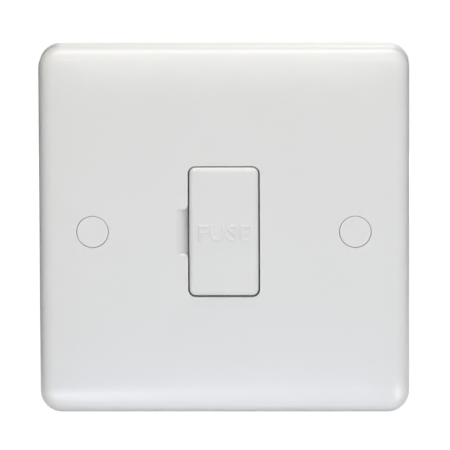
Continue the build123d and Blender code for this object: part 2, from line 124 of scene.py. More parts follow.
class NodeGraph:
    """A node tree, with a short call for its nodes and links."""

    prefix = ""

    def __init__(self, tree: bpy.types.NodeTree) -> None:
        """Takes a tree to fill.

        Args:
            tree: The tree.
        """
        self.tree = tree

    def add(self, kind: str, sockets: Sockets | None = None, **settings: Any) -> bpy.types.Node:
        """Adds one node.

        Args:
            kind: The node's type, without the graph's prefix.
            sockets: Input name or index to a value, or to an output socket that is linked to it.
            **settings: Properties set on the node itself.

        Returns:
            The new node.
        """
        node = self.tree.nodes.new(self.prefix + kind)
        for key, value in settings.items():
            setattr(node, key, value)
        for key, value in (sockets or {}).items():
            if isinstance(value, bpy.types.NodeSocket):
                self.tree.links.new(value, node.inputs[key])
            else:
                node.inputs[key].default_value = value
        return node


class ShaderGraph(NodeGraph):
    """The shader nodes of a material or of the world."""

    prefix = "ShaderNode"
    noise_low = 0.3
    noise_high = 0.7
    # A Mix node has sockets of the same name for each data type, so its colour sockets go by number.
    mix_factor = 0
    mix_first = 6
    mix_second = 7
    mix_result = 2

    def __init__(self, owner: bpy.types.Material | bpy.types.World) -> None:
        """Empties the owner's node tree.

        Args:
            owner: The material or the world.
        """
        owner.use_nodes = True
        super().__init__(owner.node_tree)
        self.owner = owner
        self.tree.nodes.clear()

    @classmethod
    def material(cls, name: str) -> "ShaderGraph":
        """Starts a new material.

        Args:
            name: The material's name.

        Returns:
            Its empty graph.
        """
        return cls(bpy.data.materials.new(name))

    def place(self) -> bpy.types.NodeSocket:
        """Gives the coordinates of the piece itself."""
        return self.add("TexCoord").outputs["Object"]

    def noise(self, place: bpy.types.NodeSocket, scale: float, detail: float) -> bpy.types.NodeSocket:
        """Adds a noise texture.

        Args:
            place: The coordinates that it reads.
            scale: Features per metre.
            detail: How many finer octaves it has.

        Returns:
            The factor output.
        """
        return self.add("TexNoise", {"Vector": place, "Scale": scale, "Detail": detail}).outputs["Fac"]

    def spread(self, factor: bpy.types.NodeSocket, low: float, high: float) -> bpy.types.NodeSocket:
        """Maps the middle of a noise onto a range.

        Args:
            factor: The noise.
            low: The value at its low end.
            high: The value at its high end.

        Returns:
            The mapped value.
        """
        return self.add("MapRange", {
            "Value": factor, "From Min": self.noise_low, "From Max": self.noise_high,
            "To Min": low, "To Max": high,
        }).outputs["Result"]

    def around(self, factor: bpy.types.NodeSocket, middle: float, reach: float) -> bpy.types.NodeSocket:
        """Maps a noise onto a range round a value.

        Args:
            factor: The noise.
            middle: The value.
            reach: How far the range goes to each side of it.

        Returns:
            The mapped value.
        """
        return self.spread(factor, middle - reach, middle + reach)

    def blend(self, factor: bpy.types.NodeSocket, first: Any, second: Any) -> bpy.types.NodeSocket:
        """Mixes two colours.

        Args:
            factor: The share of the second one.
            first: A colour or a colour output.
            second: A colour or a colour output.

        Returns:
            The mixed colour.
        """
        first, second = ((*c, 1.0) if isinstance(c, tuple) else c for c in (first, second))
        sockets = {self.mix_factor: factor, self.mix_first: first, self.mix_second: second}
        return self.add("Mix", sockets, data_type="RGBA").outputs[self.mix_result]

    def bump(self, height: bpy.types.NodeSocket, strength: float, depth: float) -> bpy.types.NodeSocket:
        """Adds a bump.

        Args:
            height: The relief.
            strength: The share of it that shows.
            depth: Its depth in metres.

        Returns:
            The normal output.
        """
        return self.add("Bump", {"Strength": strength, "Distance": depth, "Height": height}).outputs[0]

    def math(self, operation: str, first: Any, second: Any = 0.0) -> bpy.types.NodeSocket:
        """Adds a calculation with one or two values.

        Args:
            operation: The calculation.
            first: A value or an output.
            second: A value or an output.

        Returns:
            The result.
        """
        return self.add("Math", {0: first, 1: second}, operation=operation).outputs[0]

    def seen(self) -> bpy.types.NodeSocket:
        """Tells the rays that see the plain white background from those that light the object.

        Returns:
            One for camera, glossy and transmitted rays, and zero for the rest.
        """
        path = self.add("LightPath").outputs
        first = self.math("MAXIMUM", path["Is Camera Ray"], path["Is Glossy Ray"])
        return self.math("MAXIMUM", first, path["Is Transmission Ray"])

    def finish(self, sockets: Sockets) -> bpy.types.Material:
        """Adds the surface shader and the output.

        Args:
            sockets: Inputs of the principled shader.

        Returns:
            The finished material.
        """
        shader = self.add("BsdfPrincipled", sockets)
        self.add("OutputMaterial", {"Surface": shader.outputs[0]})
        return self.owner


class Finish(Protocol):
    """Anything that can make a material."""

    @property
    def name(self) -> str:
        """The material's name."""

    def build(self) -> bpy.types.Material:
        """Makes the material."""


@dataclass(frozen=True)
class MouldedPlastic:
    """White thermoset with a faint mottle, uneven gloss and the fine ripple of a polished tool."""

    name: str
    colour: Colour
    shade: Colour
    roughness: float
    rough_spread: float
    ripple_scale: float
    ripple_height: float
    ripple_strength: float = 0.35
    mottle_scale: float = 55.0
    fleck_scale: float = 1400.0
    fleck_share: float = 0.35
    gloss_scale: float = 180.0
    ior: float = 1.5
    specular: float = 0.5

    def build(self) -> bpy.types.Material:
        """Makes the material.

        Returns:
            The material.
        """
        graph = ShaderGraph.material(self.name)
        place = graph.place()
        mottle = graph.spread(graph.noise(place, self.mottle_scale, detail=4.0), 0.0, 1.0)
        fleck = graph.spread(graph.noise(place, self.fleck_scale, detail=2.0), 0.0, self.fleck_share)
        tint = graph.blend(mottle, self.colour, self.shade)
        tint = graph.blend(fleck, tint, self.shade)
        gloss = graph.noise(place, self.gloss_scale, detail=5.0)
        ripple = graph.noise(place, self.ripple_scale, detail=2.0)
        return graph.finish({
            "Base Color": tint,
            "Roughness": graph.around(gloss, self.roughness, self.rough_spread),
            "Normal": graph.bump(ripple, self.ripple_strength, self.ripple_height),
            "IOR": self.ior,
            "Specular IOR Level": self.specular,
        })


@dataclass(frozen=True)
class DrawnMetal:
    """Metal with the fine lines of drawing, rolling or turning, and a little tarnish."""

    name: str
    colour: Colour
    tarnish: Colour
    roughness: float
    rough_spread: float
    grain: Point
    grain_height: float
    grain_strength: float = 0.4
    cloud_scale: float = 320.0
    cloud_share: float = 0.7

    def build(self) -> bpy.types.Material:
        """Makes the material.

        Returns:
            The material.
        """
        graph = ShaderGraph.material(self.name)
        place = graph.place()
        along = graph.add("Mapping", {"Vector": place, "Scale": self.grain}).outputs[0]
        lines = graph.noise(along, scale=1.0, detail=4.0)
        cloud = graph.spread(graph.noise(place, self.cloud_scale, detail=4.0), 0.0, self.cloud_share)
        return graph.finish({
            "Base Color": graph.blend(cloud, self.colour, self.tarnish),
            "Metallic": 1.0,
            "Roughness": graph.around(lines, self.roughness, self.rough_spread),
            "Normal": graph.bump(lines, self.grain_strength, self.grain_height),
        })


@dataclass(frozen=True)
class FiredCeramic:
    """Unglazed cream ceramic with a printed rating band round its middle."""

    name: str
    colour: Colour
    speck: Colour
    band: Colour
    band_half: float
    roughness: float
    rough_spread: float = 0.08
    grit_scale: float = 2600.0
    grit_low: float = -0.2
    grit_high: float = 0.8
    grit_strength: float = 0.5
    grit_height: float = 0.01 * MM
    print_scale: float = 5200.0
    print_wobble: float = 0.05 * MM

    def build(self) -> bpy.types.Material:
        """Makes the material.

        Returns:
            The material.
        """
        graph = ShaderGraph.material(self.name)
        place = graph.place()
        grit = graph.spread(graph.noise(place, self.grit_scale, detail=3.0), self.grit_low, self.grit_high)
        tint = graph.blend(grit, self.colour, self.speck)
        height = graph.add("SeparateXYZ", {0: place}).outputs["Z"]
        wobble = graph.around(graph.noise(place, self.print_scale, detail=2.0), 0.0, self.print_wobble)
        edge = graph.math("ADD", graph.math("ABSOLUTE", height), wobble)
        inside = graph.math("LESS_THAN", edge, self.band_half)
        return graph.finish({
            "Base Color": graph.blend(inside, tint, self.band),
            "Roughness": graph.around(grit, self.roughness, self.rough_spread),
            "Normal": graph.bump(grit, self.grit_strength, self.grit_height),
        })


PLATE_WHITE = MouldedPlastic(
    "white_moulding", colour=(0.80, 0.80, 0.80), shade=(0.792, 0.792, 0.79),
    roughness=0.29, rough_spread=0.012, ripple_scale=700.0, ripple_height=0.0015 * MM)
CARRIER_WHITE = MouldedPlastic(
    "carrier_moulding_white", colour=(0.80, 0.80, 0.80), shade=(0.792, 0.792, 0.79),
    roughness=0.31, rough_spread=0.012, ripple_scale=900.0, ripple_height=0.0015 * MM)
COVER_WHITE = MouldedPlastic(
    "cover_moulding_white", colour=(0.80, 0.80, 0.80), shade=(0.79, 0.79, 0.788),
    roughness=0.33, rough_spread=0.015, ripple_scale=1100.0, ripple_height=0.0015 * MM)
BASE_WHITE = MouldedPlastic(
    "rear_moulding_white", colour=(0.70, 0.70, 0.68), shade=(0.68, 0.68, 0.66),
    roughness=0.46, rough_spread=0.04, ripple_scale=1600.0, ripple_height=0.006 * MM)
ZINC_STEEL = DrawnMetal(
    "zinc_plated_steel", colour=(0.68, 0.69, 0.71), tarnish=(0.56, 0.57, 0.58),
    roughness=0.30, rough_spread=0.07, grain=(900.0, 900.0, 5200.0), grain_height=0.006 * MM)
BLOCK_BRASS = DrawnMetal(
    "machined_brass", colour=(0.78, 0.58, 0.27), tarnish=(0.60, 0.42, 0.18),
    roughness=0.31, rough_spread=0.08, grain=(5200.0, 700.0, 5200.0), grain_height=0.008 * MM)
STRIP_BRASS = DrawnMetal(
    "rolled_brass_strip", colour=(0.83, 0.66, 0.37), tarnish=(0.68, 0.50, 0.24),
    roughness=0.27, rough_spread=0.07, grain=(5200.0, 5200.0, 500.0), grain_height=0.006 * MM)
CAP_NICKEL = DrawnMetal(
    "nickel_plate", colour=(0.74, 0.72, 0.68), tarnish=(0.62, 0.60, 0.56),
    roughness=0.20, rough_spread=0.06, grain=(900.0, 900.0, 6200.0), grain_height=0.005 * MM)
FUSE_WIRE = DrawnMetal(
    "silvered_wire", colour=(0.80, 0.79, 0.77), tarnish=(0.66, 0.65, 0.62),
    roughness=0.25, rough_spread=0.06, grain=(6200.0, 6200.0, 400.0), grain_height=0.004 * MM)
TUBE_CERAMIC = FiredCeramic(
    "cream_ceramic", colour=(0.80, 0.74, 0.60), speck=(0.70, 0.63, 0.49), band=(0.24, 0.11, 0.05),
    band_half=2.1 * MM, roughness=0.55)


class Workshop:
    """Builds each finish once and hands it out."""

    def __init__(self) -> None:
        """Starts with no material made."""
        self._made: dict[str, bpy.types.Material] = {}

    def material(self, finish: Finish) -> bpy.types.Material:
        """Gives a finish's material.

        Args:
            finish: The finish.

        Returns:
            Its material, made at the first call.
        """
        if finish.name not in self._made:
            self._made[finish.name] = finish.build()
        return self._made[finish.name]

    def dress(self, node: str, finish: Finish) -> None:
        """Gives a CAD node a finish.

        Args:
            node: The node's name.
            finish: The finish.
        """
        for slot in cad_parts[node].material_slots:
            slot.material = self.material(finish)
        LOG.info("%s: %s", node, finish.name)


def place_piece(obj: bpy.types.Object, body: Body) -> None:
    """Makes a finished mesh ride on a body.

    Args:
        obj: The piece, at the origin.
        body: The body that carries it.
    """
    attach(obj, body.value)
    LOG.info("%s rides on %s with %d faces", obj.name, body.value, len(obj.data.polygons))


def new_piece(name: str, mesh: bpy.types.Mesh, material: bpy.types.Material) -> bpy.types.Object:
    """Links a mesh into the scene.

    Args:
        name: The piece's name.
        mesh: Its mesh, in the part's frame.
        material: The material of all its faces.

    Returns:
        The new object.
    """
    mesh.name = name
    mesh.materials.clear()
    mesh.materials.append(material)
    obj = bpy.data.objects.new(name, mesh)
    bpy.context.scene.collection.objects.link(obj)
    return obj


def loose_object(name: str, solid: bmesh.types.BMesh) -> bpy.types.Object:
    """Turns a solid that is being built into an object, and frees it.

    Args:
        name: The object's name.
        solid: The solid.

    Returns:
        An object that isn't linked yet.
    """
    mesh = bpy.data.meshes.new(name)
    solid.to_mesh(mesh)
    solid.free()
    return bpy.data.objects.new(name, mesh)


def baked(obj: bpy.types.Object) -> bpy.types.Mesh:
    """Turns an object with its modifiers into a plain mesh and removes the object.

    Args:
        obj: The object.

    Returns:
        The mesh as it was evaluated.
    """
    graph = bpy.context.evaluated_depsgraph_get()
    graph.update()
    mesh = bpy.data.meshes.new_from_object(obj.evaluated_get(graph), depsgraph=graph)
    bpy.data.objects.remove(obj)
    return mesh


def cut_by(obj: bpy.types.Object, cutter: bpy.types.Object) -> bpy.types.Mesh:
    """Cuts one object out of another and removes both.

    Args:
        obj: The object that is cut, not linked yet.
        cutter: The closed shape that is taken away, not linked yet.

    Returns:
        The mesh that is left.
    """
    for o in (obj, cutter):
        bpy.context.scene.collection.objects.link(o)
    cut = obj.modifiers.new("cut", "BOOLEAN")
    cut.operation = "DIFFERENCE"
    cut.solver = "EXACT"
    cut.object = cutter
    made = baked(obj)
    bpy.data.objects.remove(cutter)
    return made


def merge_corners(mesh: bpy.types.Mesh, outwards: bool = False) -> None:
    """Merges the corners of a mesh that lie on one another.

    Args:
        mesh: The mesh.
        outwards: Whether its faces are turned outwards too.
    """
    solid = bmesh.new()
    solid.from_mesh(mesh)
    bmesh.ops.remove_doubles(solid, verts=solid.verts, dist=WELD)
    if outwards:
        bmesh.ops.recalc_face_normals(solid, faces=solid.faces)
    solid.to_mesh(mesh)
    solid.free()


def smooth_by_angle(mesh: bpy.types.Mesh, degrees: float) -> None:
    """Shades a mesh smooth, with hard edges where it turns sharply.

    Args:
        mesh: The mesh.
        degrees: The turn from which an edge stays hard.
    """
    mesh.shade_smooth()
    mesh.set_sharp_from_angle(angle=math.radians(degrees))


@dataclass(frozen=True)
class CopiedShading:
    """Hands the shading of a CAD mesh on to a copy that was cut."""

    source: bpy.types.Mesh
    same_corner: float = 0.002 * MM
    turn_deg: float = 40.0
    ahead_deg: float = 2.0

    def apply(self, mesh: bpy.types.Mesh) -> None:
        """Shades the copy like its source where both have a corner.

        A new corner on a face that looks straight ahead is shaded flat.

        Args:
            mesh: The cut copy.
        """
        near = self._near(mesh)
        normals = [corner.vector.copy() for corner in mesh.corner_normals]
        limit = math.cos(math.radians(self.turn_deg))
        ahead = -math.cos(math.radians(self.ahead_deg))
        for polygon in mesh.polygons:
            for loop in polygon.loop_indices:
                best = max(near[mesh.loops[loop].vertex_index], key=polygon.normal.dot, default=None)
                if best is not None and best.dot(polygon.normal) > limit:
                    normals[loop] = best
                elif polygon.normal.y < ahead:
                    normals[loop] = polygon.normal.copy()
        mesh.normals_split_custom_set(normals)

    def _near(self, mesh: bpy.types.Mesh) -> list[list[Vector]]:
        """Gives the source's shading at each corner of the copy.

        Args:
            mesh: The cut copy.

        Returns:
            For each of its vertices, the normals that the source has there.
        """
        pairs = zip(self.source.loops, self.source.corner_normals)
        shade = {loop.vertex_index: corner.vector.copy() for loop, corner in pairs}
        tree = KDTree(len(self.source.vertices))
        for v in self.source.vertices:
            tree.insert(v.co, v.index)
        tree.balance()
        found = [tree.find_range(v.co, self.same_corner) for v in mesh.vertices]
        return [[shade[i] for _, i, _ in spots if i in shade] for spots in found]


class GeometryTree(NodeGraph):
    """A geometry node group with named inputs, which repeats a shape at points."""

    def __init__(self, name: str) -> None:
        """Makes a group with a geometry input and output.

        Args:
            name: The group's name.
        """
        super().__init__(bpy.data.node_groups.new(name, "GeometryNodeTree"))
        for way in ("INPUT", "OUTPUT"):
            self.tree.interface.new_socket("Geometry", in_out=way, socket_type="NodeSocketGeometry")
        self.source = self.tree.nodes.new("NodeGroupInput")
        self.identifiers: dict[str, str] = {}

    def number(self, name: str) -> bpy.types.NodeSocket:
        """Adds a named size.

        Args:
            name: The input's name.

        Returns:
            The socket that gives it inside the group.
        """
        made = self.tree.interface.new_socket(name, in_out="INPUT", socket_type="NodeSocketFloat")
        self.identifiers[name] = made.identifier
        return self.source.outputs[name]

    def circle(self, sides: int, radius: bpy.types.NodeSocket) -> bpy.types.NodeSocket:
        """Adds a circle.

        Args:
            sides: How many straight pieces it has.
            radius: Its radius.

        Returns:
            The curve.
        """
        sockets = {"Resolution": sides, "Radius": radius}
        return self.add("GeometryNodeCurvePrimitiveCircle", sockets, mode="RADIUS").outputs[0]

    def close(self, curve: bpy.types.NodeSocket, section: bpy.types.NodeSocket, turn: float,
              material: bpy.types.Material) -> None:
        """Sweeps a section along a curve, repeats that at each point and ends the group.

        Args:
            curve: The curve, round Z.
            section: The section.
            turn: How far the shape is turned round X.
            material: Its material.
        """
        solid = self.add("GeometryNodeCurveToMesh", {
            "Curve": curve, "Profile Curve": section, "Fill Caps": True})
        spots = self.add("GeometryNodeMeshToPoints", {0: self.source.outputs[0]})
        copies = self.add("GeometryNodeInstanceOnPoints", {
            "Points": spots.outputs[0], "Instance": solid.outputs[0], "Rotation": (turn, 0.0, 0.0)})
        real = self.add("GeometryNodeRealizeInstances", {0: copies.outputs[0]})
        painted = self.add("GeometryNodeSetMaterial", {"Geometry": real.outputs[0], "Material": material})
        self.add("NodeGroupOutput", {0: painted.outputs[0]})

    def run(self, name: str, points: list[Point], sizes: dict[str, float]) -> bpy.types.Mesh:
        """Runs the group on a set of points.

        Args:
            name: The name of the mesh.
            points: Where the shape repeats, in the part's frame.
            sizes: Input name to size.

        Returns:
            The plain mesh.
        """
        mesh = bpy.data.meshes.new(name)
        mesh.from_pydata(points, [], [])
        obj = bpy.data.objects.new(name, mesh)
        bpy.context.scene.collection.objects.link(obj)
        modifier = obj.modifiers.new(name, "NODES")
        modifier.node_group = self.tree
        for key, value in sizes.items():
            modifier[self.identifiers[key]] = value
        return baked(obj)


@dataclass(frozen=True)
class PinRings:
    """The low rings that a mould's ejector pins leave on a face square to Y."""

    name: str
    points: list[Point]
    radius: float
    bead: float
    ring_sides: int = 40
    bead_sides: int = 8
    smooth_deg: float = 60.0

    def build(self, material: bpy.types.Material, slot: Slot) -> None:
        """Adds the rings to the unit.

        Args:
            material: The moulding's material.
            slot: Not used.
        """
        tree = GeometryTree("pin_witness_ring")
        radius, bead = tree.number("Radius"), tree.number("Bead")
        ring, section = tree.circle(self.ring_sides, radius), tree.circle(self.bead_sides, bead)
        tree.close(ring, section, math.pi / 2, material)
        mesh = tree.run(self.name, self.points, {"Radius": self.radius, "Bead": self.bead})
        smooth_by_angle(mesh, self.smooth_deg)
        place_piece(new_piece(self.name, mesh, material), Body.UNIT)


@dataclass(frozen=True)
class RaisedWord:
    """Letters with rounded strokes that stand proud of a face square to Y."""

    text: str
    width: float
    height: float
    rise: float
    stroke: float
    edge: float
    centre: tuple[float, float]
    face_y: float
    front: bool
    spacing: float = 1.06
    core_share: float = 0.3
    edge_steps: int = 4
    curve_steps: int = 16
    smooth_deg: float = 35.0

    def mesh(self) -> bpy.types.Mesh:
        """Makes the letters as a mesh in the part's frame.

        Returns:
            The mesh, seated in the face.
        """
        mesh = self._letters()
        low = Vector(map(min, *(v.co for v in mesh.vertices)))
        high = Vector(map(max, *(v.co for v in mesh.vertices)))
        span, middle = high - low, (high + low) / 2
        side = 1.0 if self.front else -1.0
        for v in mesh.vertices:
            u = v.co - middle
            x, z = u.x / span.x * self.width, u.y / span.y * self.height
            out = self.rise * (1.0 - (high.z - v.co.z) / self.edge)
            v.co = Vector((side * x + self.centre[0], self.face_y - side * out, z + self.centre[1]))
        merge_corners(mesh, outwards=True)
        smooth_by_angle(mesh, self.smooth_deg)
        return mesh

    def _letters(self) -> bpy.types.Mesh:
        """Sets the text in type of one metre, with rounded edges.

        Returns:
            The letters, which lie in XY.
        """
        curve = bpy.data.curves.new(self.text, "FONT")
        curve.body = self.text
        curve.size = 1.0
        curve.align_x = "CENTER"
        curve.align_y = "CENTER"
        curve.offset = self.stroke
        curve.space_character = self.spacing
        curve.extrude = self.core_share * self.edge
        curve.bevel_depth = self.edge
        curve.bevel_resolution = self.edge_steps
        curve.resolution_u = self.curve_steps
        obj = bpy.data.objects.new(self.text, curve)
        bpy.context.scene.collection.objects.link(obj)
        return baked(obj)


@dataclass(frozen=True)
class FingerNotch:
    """The scoop beside the carrier that a finger or a driver goes into."""

    x: float = -8.25 * MM
    width: float = 2.46 * MM
    length: float = 10.24 * MM
    depth: float = 2.45 * MM
    dip: float = 0.55
    lip: float = 1.0 * MM
    bevel: float = 0.35 * MM
    overcut: float = 0.05 * MM
    steps: int = 30
    clear: float = 0.5 * MM

    def cutter(self, face_y: float) -> bpy.types.Object:
        """Makes the shape that is cut away.

        Args:
            face_y: The plate's face.

        Returns:
            An object that isn't linked yet.
        """
        solid = bmesh.new()
        across = [self.width * i / self.steps for i in range(self.steps + 1)]
        across.append(self.width + self.clear)
        rings = [[solid.verts.new(p) for p in self._section(a, face_y)] for a in across]
        for one, two in zip(rings, rings[1:]):
            for i, corner in enumerate(one):
                k = (i + 1) % len(one)
                solid.faces.new((corner, one[k], two[k], two[i]))
        solid.faces.new(rings[0])
        solid.faces.new(rings[-1])
        bmesh.ops.recalc_face_normals(solid, faces=solid.faces)
        return loose_object("notch_cutter", solid)

    def _floor(self, across: float) -> float:
        """Gives the depth of the notch's curved floor.

        Args:
            across: The distance from its shallow edge.

        Returns:
            The depth below the plate's face.
        """
        slant = math.hypot(1.0, self.dip)
        reach = (self.depth - self.dip * self.width) / slant
        radius = (self.width ** 2 + self.depth ** 2) / (2 * reach)
        middle = (-radius * self.dip / slant, radius / slant)
        return middle[1] - math.sqrt(radius ** 2 - (across - middle[0]) ** 2)

    def _section(self, across: float, face_y: float) -> list[Point]:
        """Gives one section of the notch, square to X.

        Args:
            across: The distance from the notch's shallow edge.
            face_y: The plate's face.

        Returns:
            The corners of the section, from the upper end round to the lower one.
        """
        depth = self._floor(min(across, self.width)) + self.overcut
        run = min(depth, self.bevel)
        flare = min(self.lip, max(0.0, across - self.width + self.lip))
        wall = self.length / 2 + self.lip - math.sqrt(self.lip ** 2 - flare ** 2)
        half = [(-self.clear, wall + run + self.clear), (run, wall), (depth, wall)]
        outline = half + [(y, -z) for y, z in reversed(half)]
        x = self.x - self.width + across
        return [(x, face_y + y, z) for y, z in outline]


@dataclass
class FrontPlate:
    """The moulded plate with its screw covers."""

    workshop: Workshop
    notch: FingerNotch = FingerNotch()
    smooth_deg: float = 18.0
    face_wall: float = 3.0 * MM
    pin_radius: float = 1.6 * MM
    pin_bead: float = 0.05 * MM
    pin_x: float = 33.0 * MM
    pin_z: float = 34.5 * MM

    @property
    def face_y(self) -> float:
        """The Y of the plate's face."""
        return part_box("front_plate")[0].y

    def build(self) -> None:
        """Makes the plate's visible moulding, dresses the covers and adds the pins' rings behind."""
        self._moulding()
        for cover in ("screw_cap_left", "screw_cap_right"):
            self.workshop.dress(cover, COVER_WHITE)
        self._pins()

    def _moulding(self) -> None:
        """Copies the plate's solid and cuts its finger notch deeper, with bevelled ends."""
        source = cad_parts["front_plate"].data
        mesh = source.copy()
        merge_corners(mesh)
        made = cut_by(bpy.data.objects.new("plate_moulding", mesh), self.notch.cutter(self.face_y))
        smooth_by_angle(made, self.smooth_deg)
        CopiedShading(source).apply(made)
        piece = new_piece("plate_moulding", made, self.workshop.material(PLATE_WHITE))
        place_piece(piece, Body.UNIT)
        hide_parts("front_plate")

    def _pins(self) -> None:
        """Adds the rings of the tool's pins behind the plate."""
        inner_y = self.face_y + self.face_wall
        points = [(i * self.pin_x, inner_y, k * self.pin_z) for i in SIDES for k in SIDES]
        points += [(0.0, inner_y, k * self.pin_z) for k in SIDES]
        rings = PinRings("plate_pin_rings", points, self.pin_radius, self.pin_bead)
        rings.build(self.workshop.material(PLATE_WHITE), Slot.PLATE)


@dataclass
class Carrier:
    """The pull-out fuse carrier with its raised word, and the cartridge in it."""

    workshop: Workshop
    word_rise: float = 0.28 * MM
    word_width: float = 12.0 * MM
    word_height: float = 3.95 * MM
    word_stroke: float = -0.03
    word_edge: float = 0.055
    word_centre: tuple[float, float] = (0.12 * MM, -0.16 * MM)
    face_depth: float = 1.4 * MM
    face_lift: float = 0.1 * MM
    smooth_deg: float = 30.0

    @property
    def front_y(self) -> float:
        """The Y of the carrier's front, which is the top of its word."""
        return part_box("fuse_carrier")[0].y

    def build(self) -> None:
        """Makes the carrier's visible moulding and its word, and dresses the fuse."""
        self._moulding()
        self._word()
        self.workshop.dress("fuse_tube", TUBE_CERAMIC)
        self.workshop.dress("fuse_element", FUSE_WIRE)
        for end in ("upper", "lower"):
            self.workshop.dress(f"fuse_end_cap_{end}", CAP_NICKEL)

    def _moulding(self) -> None:
        """Copies the carrier's solid, with its face set back by the word and high in its opening."""
        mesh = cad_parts["fuse_carrier"].data.copy()
        merge_corners(mesh)
        limit = self.front_y + self.face_depth
        for v in mesh.vertices:
            if v.co.y < limit:
                v.co += Vector((0.0, self.word_rise, self.face_lift))
        mesh.update()
        smooth_by_angle(mesh, self.smooth_deg)
        piece = new_piece("carrier_moulding", mesh, self.workshop.material(CARRIER_WHITE))
        place_piece(piece, Body.CARRIER)
        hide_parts("fuse_carrier")

    def _word(self) -> None:
        """Adds the raised word on the carrier's face."""
        word = RaisedWord(
            "FUSE", self.word_width, self.word_height, self.word_rise, self.word_stroke, self.word_edge,
            self.word_centre, face_y=self.front_y + self.word_rise, front=True)
        piece = new_piece("carrier_word", word.mesh(), self.workshop.material(CARRIER_WHITE))
        place_piece(piece, Body.CARRIER)


@dataclass
class FixingScrews:
    """The two long screws that hold the plate to the wall box."""

    workshop: Workshop
    centres: float = 60.3 * MM
    head_radius: float = 3.2 * MM
    head_rim: float = 0.25 * MM
    head_dome: float = 0.6 * MM
    head_y: float = -6.0 * MM
    neck_radius: float = 1.5 * MM
    root_radius: float = 1.42 * MM
    crest_radius: float = 1.75 * MM
    ridge: float = 0.30 * MM
    pitch: float = 0.6 * MM
    thread_y: float = -0.5 * MM
    run_in: float = 0.1 * MM
    tip_y: float = 19.0 * MM
    point: float = 0.8 * MM
    slot_width: float = 0.9 * MM
    slot_depth: float = 0.9 * MM
    slot_overrun: float = 0.64 * MM
    sides: int = 64
    dome_steps: int = 12
    helix_steps: int = 28
    ridge_sides: int = 4
    smooth_deg: float = 32.0

    def build(self) -> None:
        """Makes the turned screws and their threads."""
        material = self.workshop.material(ZINC_STEEL)
        piece = new_piece("fixing_screw_bodies", self._bodies(), material)
        place_piece(piece, Body.UNIT)
        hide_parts("fixing_screws")
        piece = new_piece("fixing_screw_threads", self._threads(material), material)
        place_piece(piece, Body.UNIT)

    def _axes(self) -> list[float]:
        """Gives the X of each screw's axis."""
        return [i * self.centres / 2 for i in SIDES]

    def _profile(self) -> list[tuple[float, float]]:
        """Gives the turned outline.

        Returns:
            Radius and Y of its corners, from the dome to the tip.
        """
        parts = [t / self.dome_steps for t in range(self.dome_steps + 1)]
        dome = [(self.head_radius * t, self.head_y - self.head_dome * (1 - t ** 2)) for t in parts]
        seat = self.head_y + self.head_rim
        return dome + [
            (self.head_radius, seat),
            (self.neck_radius, seat + self.head_radius - self.neck_radius),
            (self.neck_radius, self.thread_y),
            (self.root_radius, self.thread_y + self.run_in),
            (self.root_radius, self.tip_y - self.point),
            (self.crest_radius - self.point, self.tip_y),
            (0.0, self.tip_y),
        ]

    def _turned(self, solid: bmesh.types.BMesh, axis_x: float) -> None:
        """Turns one screw.

        Args:
            solid: The solid that it is added to.
            axis_x: The X of its axis.
        """
        turns = [2 * math.pi * s / self.sides for s in range(self.sides)]
        rings = []
        for radius, y in self._profile():
            around = turns if radius > 0.0 else turns[:1]
            spots = [(axis_x + radius * math.cos(a), y, radius * math.sin(a)) for a in around]
            rings.append([solid.verts.new(p) for p in spots])
        for one, two in zip(rings, rings[1:]):
            for s in range(self.sides):
                t = (s + 1) % self.sides
                corners = [one[s % len(one)], one[t % len(one)], two[t % len(two)], two[s % len(two)]]
                solid.faces.new(list(dict.fromkeys(corners)))

    def _bodies(self) -> bpy.types.Mesh:
        """Turns both screws and cuts their slots.

        Returns:
            One mesh with both screws.
        """
        solid = bmesh.new()
        for axis_x in self._axes():
            self._turned(solid, axis_x)
        bmesh.ops.recalc_face_normals(solid, faces=solid.faces)
        made = cut_by(loose_object("fixing_screw_bodies", solid), self._slot_cutter())
        smooth_by_angle(made, self.smooth_deg)
        return made

    def _slot_cutter(self) -> bpy.types.Object:
        """Makes the boxes that cut the driver slots.

        Returns:
            An object that isn't linked yet.
        """
        solid = bmesh.new()
        reach = self.head_radius + self.slot_overrun
        size = Vector((2 * reach, 2 * self.slot_depth, self.slot_width))
        for axis_x in self._axes():
            middle = Vector((axis_x, self.head_y - self.head_dome, 0.0))
            bmesh.ops.create_cube(solid, size=1.0, matrix=Matrix.LocRotScale(middle, None, size))
        return loose_object("slot_cutter", solid)

    def _threads(self, material: bpy.types.Material) -> bpy.types.Mesh:
        """Winds a ridge round each screw.

        Args:
            material: The screws' material.

        Returns:
            One mesh with both threads.
        """
        tree = GeometryTree("screw_thread")
        crest, ridge, pitch, length = (tree.number(n) for n in ("Crest", "Ridge", "Pitch", "Length"))
        turns = tree.add("ShaderNodeMath", {0: length, 1: pitch}, operation="DIVIDE").outputs[0]
        middle = tree.add("ShaderNodeMath", {0: crest, 1: ridge}, operation="SUBTRACT").outputs[0]
        helix = tree.add("GeometryNodeCurveSpiral", {
            "Resolution": self.helix_steps, "Rotations": turns, "Start Radius": middle,
            "End Radius": middle, "Height": length})
        upright = tree.add("GeometryNodeSetCurveNormal", {0: helix.outputs[0]}, mode="Z_UP")
        tree.close(upright.outputs[0], tree.circle(self.ridge_sides, ridge), -math.pi / 2, material)
        start = self.thread_y + self.ridge
        return tree.run("fixing_screw_threads", [(axis_x, start, 0.0) for axis_x in self._axes()], {
            "Crest": self.crest_radius, "Ridge": self.ridge, "Pitch": self.pitch,
            "Length": self.tip_y - self.point - self.ridge - start})


